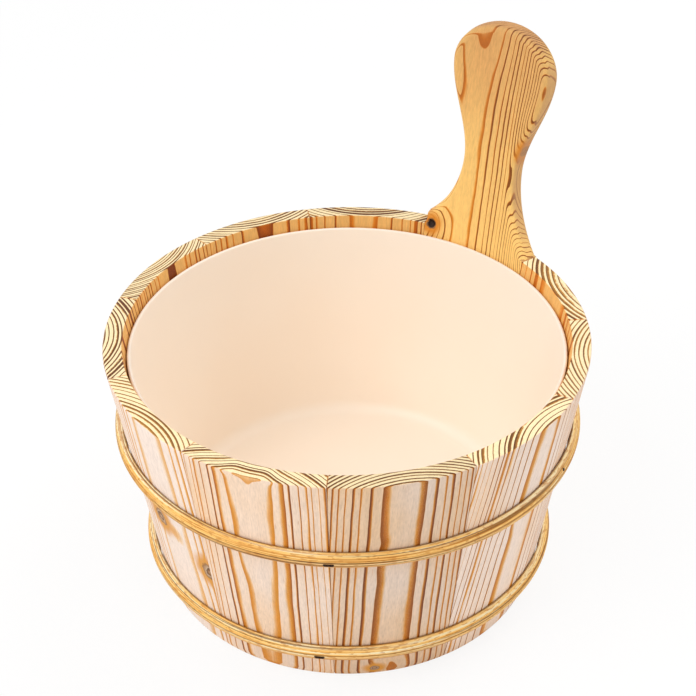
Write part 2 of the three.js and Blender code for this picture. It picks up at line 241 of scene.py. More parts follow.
LOW_MARK = 40 * MM  # heights at which the bands of the staves are given
HIGH_MARK = 130 * MM
# Painted shade: the inside faces are tinted warmer, standing in for the shade and warm bounce light inside
# the bucket
INNER_SHADE_WARMTH = 0.7  # how much warmer the wood is on the inside
HANDLE_WARMING = 0.5  # how much warmer the handle is at its top than at the rim
HANDLE_DULLING = 0.18  # how much darker the handle is at its top than at the rim
HANDLE_RIDGE = 2.5 * MM  # fall of the handle's edges at which its rings start to follow them
HANDLE_RIDGE_SOFTNESS = 1.4 * MM
LOG_STEP = 0.731  # along the log, from one stave's grain to the next one's
SEED_STEP = 1.37  # from one stave's chances to the next one's
BOTTOM_LOG_START = 9.0  # along the log, past the grain of the staves
BOTTOM_PITH_SHIFT = 4 * MM  # sideways, from one bottom board to the next
BOTTOM_SEED_STEP = 2.3
FAR_AWAY = (99.0, 99.0, 0.0)  # place of a knot that a board does not have


@dataclass
class Knot:
    """A branch cut through, or a swirl in the grain."""

    across: float  # from the stave's middle line, to the right seen from outside
    height: float  # above the floor
    half_width: float
    half_height: float
    lift: float  # how far the rings there are shifted away from the pith
    core: float = 0.0  # share of its size that is dark wood


@dataclass
class Board:
    """A board's place in its log. The pith lies beyond a stave's outer face, or under the floor."""

    pith_out: float  # pith from that face or from the floor
    pith_across: tuple  # pith from the board's middle line, low down and high up
    edge: tuple  # from there to the ring boundary beside the widest band, low down and high up
    wide: float  # width of that band's ring
    ring: float  # width of the rings beyond it
    warmth: float = 0.0
    shade: float = 1.0
    line: float = 1.0  # strength of its late wood
    thin: float = 0.0  # how much later than usual its late wood starts, in rings
    knots: tuple = ()


def ring_at(across, pith_across, pith_out, height):
    """Distance from the pith to a point of a stave's outer face."""
    radius = outside_radius(height)
    depth = (radius - math.sqrt(radius**2 - across**2)) * math.cos(LEAN)
    return math.hypot(across - pith_across, pith_out + depth)


def band_pith(band, pith_out, height):
    """Pith that puts both edges of a band of early wood on one ring boundary, and that boundary's depth."""
    left, right = band
    left_out, right_out = [ring_at(side, side, pith_out, height) for side in band]
    pith = (right**2 - left**2 + right_out**2 - left_out**2) / (2 * (right - left))
    return pith, ring_at(left, pith, pith_out, height) - pith_out


def knots_at(*rows):
    """Knots given in mm, in the order of their fields; the core, a share, can be left out."""
    return tuple(Knot(*[length * MM for length in row[:5]], *row[5:]) for row in rows)


def stave_board(pith_out, low, high, wide, ring, **rest):
    """Board given in mm: its widest band lies between two lines on its outer face, low down and high up."""
    out = pith_out * MM
    low_pith, low_edge = band_pith([side * MM for side in low], out, LOW_MARK)
    high_pith, high_edge = band_pith([side * MM for side in high], out, HIGH_MARK)
    return Board(out, (low_pith, high_pith), (low_edge, high_edge), wide * MM, ring * MM, **rest)


HANDLE_BOARD = Board(
    pith_out=48 * MM, pith_across=(18.2 * MM, 18.2 * MM), edge=(11.23 * MM, 11.23 * MM), wide=1.72 * MM,
    ring=1.3 * MM, warmth=-0.75, shade=1.03, line=1.3, thin=0.13,
    knots=knots_at(
        (29.5, 144.4, 9, 10, 1.8, 0.31), (29, 163, 9, 11, -2.8), (12, 268, 70, 30, -1.5),
        (-31, 148, 10, 14, 2.5), (31, 238, 5, 20, -1.0), (27, 213, 7, 11, -0.9),
        (-27, 214, 9, 14, 3.3), (-31, 234, 8, 14, 0.35), (-20.5, 199, 4.5, 9, 0.4, 0.45),
    ),
)
STAVE_BOARDS = [
    HANDLE_BOARD,
    stave_board(50, (-12.8, 17.8), (-14.5, 19.5), wide=2.4, ring=2.4, warmth=0.3, shade=0.9),
    stave_board(46.5, (-18.2, 8.1), (-21, 9.3), wide=2.4, ring=2.33, warmth=0.25, shade=0.92, line=0.95),
    stave_board(41, (-14, 6.1), (-16, 7), wide=1.7, ring=1.62, warmth=0.3, shade=0.95, line=1.02),
    stave_board(44.5, (-8, 9), (-9.1, 10.2), wide=2.2, ring=2.19, warmth=0.1, shade=0.98, line=1.45),
    stave_board(
        46, (-6, 22), (-3.3, 22), wide=4.2, ring=2.5, warmth=-0.1, shade=1.02, line=0.75, thin=0.08,
        knots=knots_at((-2, 75, 9, 9, 1.2, 0.55), (10, 71, 5.5, 10, 2.1), (31, 58, 7.5, 10, 1.3, 0.55)),
    ),
    stave_board(
        53, (-10.5, 6.5), (-13.5, 11), wide=2.7, ring=2.02, warmth=0.12, line=1.02, thin=0.08,
        knots=knots_at(
            (-1, 150, 7, 18, -1.15), (-9.5, 146, 5, 3, -2.6), (7, 146, 5, 3, -2.6),
            (-9, 112, 3, 12, 0.25), (-8, 58, 4, 14, 0.25),
        ),
    ),
    stave_board(
        51.5, (-12.3, 9), (-10.7, 11), wide=2.2, ring=2.05, warmth=0.18, shade=0.885, line=1.08,
        knots=knots_at(
            (-8, 72, 4, 16, 0.35), (-8, 104, 4, 6, 0.3), (1.5, 0, 10, 14, -1.35), (-9, 5, 6, 4, 0.8, 0.45),
        ),
    ),
    stave_board(
        39, (-4.5, 16.5), (2.5, 21.8), wide=3.9, ring=2.45, warmth=0.06, shade=1.04, line=1.05, thin=0.1,
        knots=knots_at((3, 86, 7, 9, -0.7), (-9, 86, 4, 6, 0.8, 0.12)),
    ),
    stave_board(46.5, (-5, 17.5), (-5.6, 19.9), wide=2.6, ring=2.2, warmth=0.05, line=0.85),
    stave_board(50.5, (-12.2, 4.8), (-14, 5.5), wide=2.7, ring=2.73, warmth=0.2, line=0.85, thin=0.08),
]
BOTTOM_BOARD = Board(
    pith_out=40 * MM, pith_across=(0.0, 0.0), edge=(15 * MM, 15 * MM), wide=2.5 * MM, ring=1.7 * MM,
    warmth=0.4, shade=0.97, line=0.9,
)


def knot_place(knot, size, across, height):
    """Place of a point against a share of a knot's size, which ends 1 from its middle."""
    x = (across - knot.across) / (knot.half_width * size)
    y = (height - knot.height) / (knot.half_height * size)
    return (x, y, 0.0)


def knot_near(knot, across, height):
    """1 in the middle of a knot, falling to nothing around it."""
    x, y, _ = knot_place(knot, 1, across, height)
    return math.exp(-x * x - y * y)


def wood_attributes(board, log, edge, tone, grain, cores):
    """What the pine material reads at a point of a board."""
    return {
        "log": log,
        "rings": (board.pith_out + edge, board.wide, board.ring),
        "tone": tone,
        "line": (board.line, board.thin, 0.0),
        "grain": grain,
        "core_a": cores[0],
        "core_b": cores[1],
    }


def sawn_stave(point, number):
    """Attributes of a point of a stave, which leans with the wall. The handle's is number 0."""
    board = STAVE_BOARDS[number]
    outwards, along = directions(stave_azimuth(number))
    from_axis = point - AXIS
    across = from_axis.dot(along)
    height = point.z
    # Depth is square to the leaning face, and grain runs along it.
    depth = (outside_radius(height) - from_axis.dot(outwards)) * math.cos(LEAN)
    if number == 0:
        past = max(WALL - depth, 0) - HANDLE_RIDGE
        depth = max(depth, WALL) - (past + math.hypot(past, HANDLE_RIDGE_SOFTNESS)) / 2
    share = (height - LOW_MARK) / (HIGH_MARK - LOW_MARK)
    lift = sum(knot.lift * knot_near(knot, across, height) for knot in board.knots)
    cores = [knot_place(knot, knot.core, across, height) for knot in board.knots if knot.core]
    inward = min(max((outside_radius(height) - from_axis.xy.length) / WALL, 0), 1)
    above = min(max((height - BODY_HEIGHT) / HANDLE_HEIGHT, 0), 1)
    log = (
        across - between(board.pith_across, share),
        board.pith_out + depth + lift,
        height / math.cos(LEAN) + number * LOG_STEP,
    )
    # The warmer inside is painted shade, for the bounce light inside the bucket
    warmth = board.warmth + INNER_SHADE_WARMTH * inward + HANDLE_WARMING * above
    tone = (warmth, board.shade - HANDLE_DULLING * above, number * SEED_STEP)
    upright = (0.0, 0.0, 1.0)
    return wood_attributes(board, log, between(board.edge, share), tone, upright, cores + [FAR_AWAY] * 2)


def sawn_bottom(point, number, middle):
    """Attributes of a point of a bottom board, whose grain runs along Y."""
    board = BOTTOM_BOARD
    place = point - AXIS
    log = (
        place.x - middle - BOTTOM_PITH_SHIFT * number,
        place.z + board.pith_out,
        place.y + BOTTOM_LOG_START + number,
    )
    tone = (board.warmth, board.shade, number * BOTTOM_SEED_STEP)
    return wood_attributes(board, log, board.edge[0], tone, (0.0, 1.0, 0.0), [FAR_AWAY] * 2)


# Meshes


def new_object(name, data):
    thing = bpy.data.objects.new(name, data)
    bpy.context.scene.collection.objects.link(thing)
    return thing


def add_piece(name, loops, material, node, attributes=None, body="bucket", crease=CREASE):
    """Adds one piece that stands for a CAD node and rides on its body."""
    points, faces = skin(loops)
    mesh = bpy.data.meshes.new(name)
    mesh.from_pydata([tuple(point) for point in points], [], faces)
    mesh.validate()
    for key in attributes[0] if attributes else ():
        layer = mesh.attributes.new(key, "FLOAT_VECTOR", "POINT")
        layer.data.foreach_set("vector", [value for point in attributes for value in point[key]])
    mesh.shade_smooth()
    mesh.set_sharp_from_angle(angle=math.radians(crease))
    mesh.materials.append(material)
    piece = new_object(name, mesh)
    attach(piece, body)
    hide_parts(node)


def skin(loops):
    """Points and faces of a surface over loops in turn, capped at both ends."""
    size = len(loops[0])
    points = [point for loop in loops for point in loop]
    faces = []
    for row in range(len(loops) - 1):
        low = row * size
        high = low + size
        for i in range(size):
            j = (i + 1) % size
            faces.append((low + i, low + j, high + j, high + i))
    last = len(points) - size
    faces.append(tuple(reversed(range(size))))
    faces.append(tuple(last + i for i in range(size)))
    return points, faces


def inset(outline, amount):
    """A closed outline, counter-clockwise, moved inwards."""
    moved = []
    for i, (x, y) in enumerate(outline):
        before = outline[i - 1]
        after = outline[(i + 1) % len(outline)]
        along = Vector((after[0] - before[0], after[1] - before[1])).normalized()
        moved.append((x - along.y * amount, y + along.x * amount))
    return moved


def stave_outline():
    """Section of a plain stave: radius and height, counter-clockwise from the foot's outer edge."""
    foot = BASE_ROUNDING
    rim = RIM_ROUNDING
    shoulder = BODY_HEIGHT - rim
    outer_edge = (outside_radius(shoulder) - PLANED - rim, shoulder)
    inner_edge = (inside_radius(shoulder) + rim, shoulder)
    return [
        *arc((outside_radius(0) - PLANED - foot, foot), foot, -QUARTER, 0, EDGE_STEPS),
        *[(outside_radius(h) - PLANED, h) for h in steps(foot, shoulder, STAVE_ROWS)[1:-1]],
        *arc(outer_edge, rim, 0, QUARTER, EDGE_STEPS),
        *arc(inner_edge, rim, QUARTER, 2 * QUARTER, EDGE_STEPS),
        *[(inside_radius(h), h) for h in steps(shoulder, CROZE_HIGH, INNER_ROWS)[1:]],
        (CROZE_RADIUS, CROZE_HIGH),
        (CROZE_RADIUS, CROZE_LOW),
        (inside_radius(CROZE_LOW), CROZE_LOW),
        (inside_radius(0), 0.0),
    ]


def plain_stave(number, material):
    outline = stave_outline()
    edge = inset(outline, JOINT_BEVEL)
    reach = half_angle(number)
    bevel = JOINT_BEVEL / RIM_RADIUS
    rows = [(-reach, edge)]
    rows += [(angle, outline) for angle in steps(-reach + bevel, reach - bevel, STAVE_STEPS)]
    rows.append((reach, edge))
    middle = stave_azimuth(number)
    loops = [[polar(r, middle + angle, h) for r, h in loop] for angle, loop in rows]
    attributes = [sawn_stave(point, number) for loop in loops for point in loop]
    node = f"stave_{number}"
    add_piece(f"pine_{node}", loops, material, node, attributes)


# Outline of the paddle: shoulders, hollow arcs up to the neck, S-curves out to the knob, an elliptical top

NECK_HALF = NECK_WIDTH / 2
KNOB_HALF = KNOB_WIDTH / 2
KNOB_TOP = HANDLE_HEIGHT - KNOB_HEIGHT
SHOULDER_HALF = RIM_RADIUS * half_angle(0)
SHOULDER_SPREAD = SHOULDER_HALF - NECK_HALF
ROUNDING_OFFSETS = [INNER_ROUNDING * (1 - math.cos(a)) for a in steps(0, QUARTER, ARC_STEPS)]


def paddle_half_width(up, side):
    """Distance from the paddle's middle line to its outline; the side is 0 clockwise of it, else 1."""
    if up > KNOB_HEIGHT:
        return KNOB_HALF * math.sqrt(max(1 - ((up - KNOB_HEIGHT) / KNOB_TOP) ** 2, 0))
    if up > NECK_HEIGHT:
        share = (up - NECK_HEIGHT) / (KNOB_HEIGHT - NECK_HEIGHT)
        return NECK_HALF + (KNOB_HALF - NECK_HALF) * share * share * (3 - 2 * share)
    run = NECK_HEIGHT - SHOULDER_RISES[side]
    radius = (SHOULDER_SPREAD**2 + run**2) / (2 * SHOULDER_SPREAD)
    return NECK_HALF + radius - math.sqrt(radius**2 - min(NECK_HEIGHT - up, run) ** 2)


def edge_distance(across, up):
    """Distance from a point of the paddle to its outline."""
    if up > KNOB_HEIGHT:
        x = across / KNOB_HALF
        y = (up - KNOB_HEIGHT) / KNOB_TOP
        share = math.hypot(x, y)
        return (1 - share) * share / math.hypot(x / KNOB_HALF, y / KNOB_TOP)
    side = 0 if across < 0 else 1
    step = 0.1 * MM
    slope = (paddle_half_width(up + step, side) - paddle_half_width(up, side)) / step
    return (paddle_half_width(up, side) - abs(across)) / math.hypot(1, slope)


def rounding_drop(distance, radius):
    """How far a rounded edge falls back from its face, at a distance from the outline."""
    reach = min(max(radius - distance, 0), radius)
    return radius - math.sqrt(radius**2 - reach**2)


def paddle_columns(low, high):
    """Places across a row: close together on the rounded edges, even between them."""
    squeeze = min(1, (high - low) / (4 * INNER_ROUNDING))
    left = [low + offset * squeeze for offset in ROUNDING_OFFSETS]
    right = [high - offset * squeeze for offset in ROUNDING_OFFSETS]
    return [*left, *steps(left[-1], right[-1], PADDLE_STEPS)[1:-1], *reversed(right)]


def knot_pit(across, height):
    """Depth of the hollow that the loose knot leaves in the handle's inner face."""
    hole = HANDLE_BOARD.knots[0]
    away = math.hypot(across - hole.across, height - hole.height)
    return PIT_DEPTH * max(0, 1 - (away / PIT_RADIUS) ** 2)


def handle_loop(height, columns, outer_depths, inner_depths):
    """A loop of the handle stave: along its outer face and back along its inner face."""
    radius = outside_radius(height)
    turn = max(radius, RIM_RADIUS)
    outer = []
    inner = []
    for x, outer_depth, inner_depth in zip(columns, outer_depths, inner_depths):
        angle = HANDLE_AZIMUTH + x / turn
        pit = knot_pit((radius - WALL) * math.sin(x / turn), height)
        outer.append(polar(radius - PLANED - outer_depth, angle, height))
        inner.append(polar(radius - (inner_depth - pit), angle, height))
    return outer + inner[::-1]


def handle_body_loops():
    """The handle stave up to the rim, with the groove for the bottom boards."""
    columns = paddle_columns(-SHOULDER_HALF, SHOULDER_HALF)
    groove = outside_radius(BOARD_LIFT) - CROZE_RADIUS
    pit_low = BODY_HEIGHT - PIT_STRETCH
    # Height, depth of the outer face and depth of the inner face
    rows = [(0, BASE_ROUNDING, WALL), (BASE_ROUNDING, 0, WALL)]
    rows += [(CROZE_LOW - CROZE_EDGE, 0, WALL), (CROZE_LOW, 0, groove), (CROZE_HIGH, 0, groove)]
    rows += [(h, 0, WALL) for h in steps(CROZE_HIGH + CROZE_EDGE, pit_low, HANDLE_ROWS)]
    rows += [(h, 0, WALL) for h in steps(pit_low, BODY_HEIGHT, PIT_ROWS)[1:]]
    count = len(columns)
    return [handle_loop(h, columns, [outer] * count, [inner] * count) for h, outer, inner in rows]


def paddle_loop(up):
    columns = paddle_columns(-paddle_half_width(up, 0), paddle_half_width(up, 1))
    edges = [edge_distance(x, up) for x in columns]
    outer_depths = [rounding_drop(edge, OUTER_ROUNDING) for edge in edges]
    inner_depths = [WALL - rounding_drop(edge, INNER_ROUNDING) for edge in edges]
    return handle_loop(BODY_HEIGHT + up, columns, outer_depths, inner_depths)


def paddle_heights():
    """Heights of the paddle's rows above the rim, ending just under its tip."""
    low, high = SHOULDER_RISES
    last_angle = math.asin((KNOB_TOP - INNER_ROUNDING) / KNOB_TOP)
    tip = [HANDLE_HEIGHT - offset for offset in reversed(ROUNDING_OFFSETS)]
    return [
        *steps(0, low, 2)[1:],
        *steps(low, high, ARC_STEPS)[1:],
        *steps(high, NECK_HEIGHT, 5 * ARC_STEPS)[1:],
        *steps(NECK_HEIGHT, KNOB_HEIGHT, 5 * ARC_STEPS)[1:],
        *[KNOB_HEIGHT + KNOB_TOP * math.sin(angle) for angle in steps(0, last_angle, 3 * ARC_STEPS)[1:-1]],
        *tip[:-1],
        HANDLE_HEIGHT - TIP_CUT,
    ]


def handle_stave(material):
    loops = handle_body_loops() + [paddle_loop(up) for up in paddle_heights()]
    attributes = [sawn_stave(point, 0) for loop in loops for point in loop]
    node = "handle_stave"
    add_piece("pine_handle", loops, material, node, attributes, crease=ROUNDED_CREASE)


def bottom_board(number, material):
    """A slice of the round bottom, its joints running along Y."""
    radius = CROZE_RADIUS - CROZE_CLEARANCE
    width = 2 * radius / BOARD_COUNT
    left = -radius + (number - 1) * width + JOINT_GAP / 2
    right = -radius + number * width - JOINT_GAP / 2
    bevel = JOINT_BEVEL

    def slice_loop(shrink, height):
        r = radius - shrink
        start = math.asin(max(left + shrink, -r) / r)
        end = math.asin(min(right - shrink, r) / r)
        xs = [r * math.sin(a) for a in steps(start, end, 4 * ARC_STEPS)]
        back = [(x, math.sqrt(max(r * r - x * x, BOARD_POINT**2))) for x in xs]
        outline = [(x, -y) for x, y in back] + back[::-1]
        return [AXIS + Vector((x, y, height)) for x, y in outline]

    levels = [(bevel, BOARD_LIFT), (0, BOARD_LIFT + bevel), (0, BOARD_TOP - bevel), (bevel, BOARD_TOP)]
    loops = [slice_loop(shrink, height) for shrink, height in levels]
    attributes = [sawn_bottom(point, number, (left + right) / 2) for loop in loops for point in loop]
    node = f"bottom_board_{number}"
    add_piece(f"pine_{node}", loops, material, node, attributes)


# Hoops: half-round strips with a shallow groove along the crest, their slanted ends lapped at the handle

HOOP_FRONT_TURNS = steps(-QUARTER, QUARTER, HOOP_FRONT_STEPS)
HOOP_BACK_TURNS = steps(QUARTER, -QUARTER, HOOP_BACK_STEPS)[1:-1]


def hoop_thickness(turn):
    """Thickness of the strip at a turn round its half-round face, from its crest upwards."""
    groove = HOOP_GROOVE_DEPTH * math.exp(-(((turn - HOOP_GROOVE_TURN) / HOOP_GROOVE_SPREAD) ** 2))
    return max(HOOP_THICKNESS * math.cos(turn) - groove * math.cos(turn), 0)


def hoop_loop(middle, angle, lowest, highest):
    """Section of a hoop at an angle from its joint, kept between two depths by the slant of its ends."""
    rise = HOOP_WANDER * (math.sin(3 * angle + HOOP_VARIETY * middle) + math.sin(7 * angle)) / 2

    def place(turn, proud):
        height = middle + rise + HOOP_HEIGHT / 2 * math.sin(turn)
        return polar(outside_radius(height) + HOOP_CLEARANCE + proud, HANDLE_AZIMUTH + angle, height)

    front = [place(turn, min(max(hoop_thickness(turn), lowest), highest)) for turn in HOOP_FRONT_TURNS]
    return front + [place(turn, min(lowest, hoop_thickness(turn))) for turn in HOOP_BACK_TURNS]


def hoop(which, material):
    """One strip round the bucket, from the slanted end that lies underneath to the one that covers it."""
    middle = HOOP_MIDDLES[which]
    radius = outside_radius(middle) + HOOP_THICKNESS
    half = SCARF_LENGTH / 2 / radius
    slant = HOOP_THICKNESS / SCARF_LENGTH * radius
    # Angle from the joint, and the least and greatest depth of the strip there
    sections = []
    for angle in steps(-half, half, ARC_STEPS)[:-1]:
        sections.append((angle, 0.0, max((angle + half) * slant - SCARF_GAP / 2, SCARF_TIP)))
    for angle in steps(half, FULL_TURN - half, RING_STEPS)[:-1]:
        sections.append((angle, 0.0, HOOP_THICKNESS))
    for angle in steps(FULL_TURN - half, FULL_TURN + half, ARC_STEPS):
        covered = (angle - FULL_TURN + half) * slant + SCARF_GAP / 2
        sections.append((angle, min(covered, HOOP_THICKNESS - SCARF_TIP), HOOP_THICKNESS))
    loops = [hoop_loop(middle, *section)[::-1] for section in sections]
    turns = (HOOP_FRONT_TURNS + HOOP_BACK_TURNS)[::-1]
    attributes = [
        {"strip": (angle * radius, turn * HOOP_HEIGHT / 2, middle * HOOP_VARIETY)}
        for angle, _, _ in sections
        for turn in turns
    ]
    node = f"{which}_hoop"
    add_piece(f"{node}_strip", loops, material, node, attributes)


def staple_path(crown):
    """Path of a staple's wire along its middle: radius from the axis and distance along the hoop."""
    half = STAPLE_CROWN / 2
    wire = STAPLE_WIRE / 2
    bend = STAPLE_BEND - wire
    return [
        (crown - STAPLE_LEG, -half + wire),
        *arc((crown - STAPLE_BEND, -half + STAPLE_BEND), bend, -QUARTER, 0, BEND_STEPS),
        *arc((crown - STAPLE_BEND, half - STAPLE_BEND), bend, 0, QUARTER, BEND_STEPS),
        (crown - STAPLE_LEG, half - wire),
    ]


def wire_section():
    """Square section of a staple's wire with rounded edges."""
    flat = STAPLE_WIRE / 2 - WIRE_ROUNDING
    section = []
    for number, corner in enumerate([(flat, flat), (-flat, flat), (-flat, -flat), (flat, -flat)]):
        section += arc(corner, WIRE_ROUNDING, number * QUARTER, (number + 1) * QUARTER, WIRE_EDGE_STEPS)
    return section


def staple(name, middle, azimuth, material):
    """Flat-wire staple: its crown lies along the hoop and its legs point to the bucket's axis."""
    path = staple_path(outside_radius(middle) + HOOP_CLEARANCE + HOOP_THICKNESS + STAPLE_PROUD)
    outwards, along_hoop = directions(azimuth)
    loops = []
    for i, (out, side) in enumerate(path):
        before = Vector(path[max(i - 1, 0)])
        after = Vector(path[min(i + 1, len(path) - 1)])
        along = (after - before).normalized()
        normal = Vector((along.y, -along.x))
        loop = []
        for a, b in wire_section():
            x = out + normal.x * a
            y = side + normal.y * a
            loop.append(AXIS + outwards * x + along_hoop * y + Vector((0, 0, middle + b)))
        loops.append(loop)
    add_piece(f"{name}_wire", loops, material, name)


def staples(material):
    """One staple in the front of each hoop, and one beside each end of its joint."""
    lower = HOOP_MIDDLES["lower"]
    front = joint_azimuth(FRONT_JOINT)
    staple("upper_staple_front", HOOP_MIDDLES["upper"], front, material)
    staple("lower_staple_front", lower, front + hoop_angle(LOWER_STAPLE_OFFSET, lower), material)
    for which, middle in HOOP_MIDDLES.items():
        turn = hoop_angle(END_STAPLE_OFFSET, middle)
        staple(f"{which}_staple_right_end", middle, HANDLE_AZIMUTH - turn, material)
        staple(f"{which}_staple_left_end", middle, HANDLE_AZIMUTH + turn, material)


def side_pin(material):
    """Headless pin with a rounded end in the side of the upper hoop, pointing to the bucket's axis."""
    middle = HOOP_MIDDLES["upper"]
    outwards, along_hoop = directions(joint_azimuth(SIDE_JOINT) + hoop_angle(PIN_OFFSET, middle))
    height = middle + PIN_RISE
    thickness = HOOP_THICKNESS * math.sqrt(1 - (PIN_RISE / (HOOP_HEIGHT / 2)) ** 2)
    end = outside_radius(height) + HOOP_CLEARANCE + thickness + PIN_PROUD
    radius = PIN_DIAMETER / 2
    soft = radius / 3
    tip = arc((end - soft, radius - soft), soft, QUARTER, 0, EDGE_STEPS)
    loops = []
    for out, wide in [(end - PIN_LENGTH, radius), *tip]:
        centre = AXIS + outwards * out + Vector((0, 0, height))
        circle = arc((0, 0), wide, 0, FULL_TURN, 4 * ARC_STEPS)[:-1]
        loops.append([centre + along_hoop * x + Vector((0, 0, y)) for x, y in circle])
    add_piece("upper_pin_side_wire", loops, material, "upper_pin_side")


def liner(material):
    """Cup with a rounded lip and a rounded floor corner, following the taper of the staves."""

    def wall_radius(height):
        return inside_radius(height) - LINER_CLEARANCE

    def corner(radius, floor, step_in):
        centre = (wall_radius(floor + radius) - step_in - radius / math.cos(LEAN), floor + radius)
        return arc(centre, radius, -QUARTER, -LEAN, ARC_STEPS)

    floor = LINER_SEAT + LINER_WALL
    lip = LINER_WALL / 2
    lip_height = LINER_TOP - lip
    lip_centre = (wall_radius(lip_height) - lip, lip_height)
    outer = corner(LINER_FILLET + LINER_WALL, LINER_SEAT, 0)
    inner = corner(LINER_FILLET, floor, LINER_WALL)[::-1]
    outline = [(r, LINER_SEAT) for r in steps(LINER_CENTRE, outer[0][0], LINER_FLOOR_RINGS)[:-1]]
    outline += outer
    outline += [(wall_radius(h), h) for h in steps(outer[-1][1], lip_height, LINER_ROWS)[1:-1]]
    outline += arc(lip_centre, lip, -LEAN, math.pi - LEAN, 2 * ARC_STEPS)
    outline += [(wall_radius(h) - LINER_WALL, h) for h in steps(lip_height, inner[0][1], LINER_ROWS)[1:-1]]
    outline += inner
    outline += [(r, floor) for r in steps(inner[-1][0], LINER_CENTRE, LINER_FLOOR_RINGS)[1:]]
    angles = steps(0, FULL_TURN, RING_STEPS)[:-1]
    loops = [[polar(r, angle, h) for angle in angles] for r, h in outline]
    add_piece("liner_cup", loops, material, "liner", body="liner", crease=ROUNDED_CREASE)


# Materials


class Value:
    """A number worked out for each point. Sums and products of values are values too."""

    def __init__(self, paint, socket):
        self.paint = paint
        self.socket = socket

    def __add__(self, other):
        return self.paint.math("ADD", self, other)

    def __sub__(self, other):
        return self.paint.math("SUBTRACT", self, other)

    def __rsub__(self, other):
        return self.paint.math("SUBTRACT", other, self)

    def __mul__(self, other):
        return self.paint.math("MULTIPLY", self, other)

    def __truediv__(self, other):
        return self.paint.math("DIVIDE", self, other)


class Shader:
    """Adds nodes to a material or a world and links them."""

    def __init__(self, owner):
        self.owner = owner
        owner.use_nodes = True
        self.tree = owner.node_tree

    def feed(self, socket, value):
        """Links a value or another socket to a socket, or sets the socket to a constant."""
        if isinstance(value, Value):
            value = value.socket
        if isinstance(value, bpy.types.NodeSocket):
            self.tree.links.new(value, socket)
        else:
            socket.default_value = value

    def node(self, kind, inputs=None, **settings):
        node = self.tree.nodes.new(kind)
        for key, value in settings.items():
            setattr(node, key, value)
        for key, value in (inputs or {}).items():
            self.feed(node.inputs[key], value)
        return node

    def value(self, kind, output, inputs, **settings):
        return Value(self, self.node(kind, inputs, **settings).outputs[output])

    def math(self, operation, *values):
        return self.value("ShaderNodeMath", 0, dict(enumerate(values)), operation=operation)

    def scaled(self, vector, scale):
        return self.node("ShaderNodeVectorMath", {0: vector, 1: scale}, operation="MULTIPLY").outputs[0]

    def dot(self, first, second):
        return self.value("ShaderNodeVectorMath", "Value", {0: first, 1: second}, operation="DOT_PRODUCT")

    def length(self, vector):
        return self.value("ShaderNodeVectorMath", "Value", {0: vector}, operation="LENGTH")

    def split(self, vector):
        return [Value(self, part) for part in self.node("ShaderNodeSeparateXYZ", {0: vector}).outputs]

    def attribute(self, name):
        return self.node("ShaderNodeAttribute", attribute_name=name).outputs["Vector"]

    def noise(self, vector, scale, detail=2.0, roughness=0.5):
        """Noise from 0 to 1 over a vector stretched by a scale per metre."""
        stretched = self.scaled(vector, scale)
        inputs = {"Vector": stretched, "Scale": 1.0, "Detail": detail, "Roughness": roughness}
        return self.value("ShaderNodeTexNoise", "Fac", inputs)

    def swing(self, vector, scale, size):
        """Noise about zero, up to about plus or minus half the size."""
        return (self.noise(vector, scale) - 0.5) * size

    def ease(self, value, low, high, to_low=0.0, to_high=1.0):
        """Smooth step from one value to another."""
        inputs = {"Value": value, "From Min": low, "From Max": high, "To Min": to_low, "To Max": to_high}
        return self.value("ShaderNodeMapRange", "Result", inputs, interpolation_type="SMOOTHSTEP")

    def mix(self, share, first, second, blend="MIX"):
        inputs = {"Factor": share, 6: first, 7: second}
        return self.node("ShaderNodeMix", inputs, data_type="RGBA", blend_type=blend).outputs[2]

    def ramp(self, value, stops):
        node = self.node("ShaderNodeValToRGB", {"Fac": value})
        elements = node.color_ramp.elements
        while len(elements) < len(stops):
            elements.new(0.5)
        for element, (position, colour) in zip(elements, stops):
            element.position = position
            element.color = colour
        return node.outputs["Color"]

    def bump(self, height, distance, strength):
        inputs = {"Height": height, "Distance": distance, "Strength": strength}
        return self.node("ShaderNodeBump", inputs).outputs["Normal"]

    def finish(self, **inputs):
        """Sets inputs of the material's surface, with underscores for spaces, and returns the material."""
        for key, value in inputs.items():
            self.feed(self.tree.nodes["Principled BSDF"].inputs[key.replace("_", " ")], value)
        return self.owner

    def seen_as_white(self, surface, output, share, kind):
        """Shows white instead of a surface, for a share, to the camera and in shiny or clear things."""
        rays = self.node("ShaderNodeLightPath").outputs
        seen = self.math("MAXIMUM", rays["Is Camera Ray"], rays["Is Glossy Ray"])
        seen = self.math("MAXIMUM", seen, rays["Is Transmission Ray"])
        white = self.node(kind, {"Color": WHITE, "Strength": 1.0})
        inputs = {0: seen * share, 1: surface.outputs[0], 2: white.outputs[0]}
        choice = self.node("ShaderNodeMixShader", inputs)
        self.feed(self.tree.nodes[output].inputs["Surface"], choice.outputs[0])


def new_paint(name):
    return Shader(bpy.data.materials.new(name))


def srgb(*channels):
    """Red, green and blue as they are read off a picture, 0 to 255, made linear."""
    shares = [channel / 255 for channel in channels]
    return (*[c / 12.92 if c <= 0.04045 else ((c + 0.055) / 1.055) ** 2.4 for c in shares], 1.0)


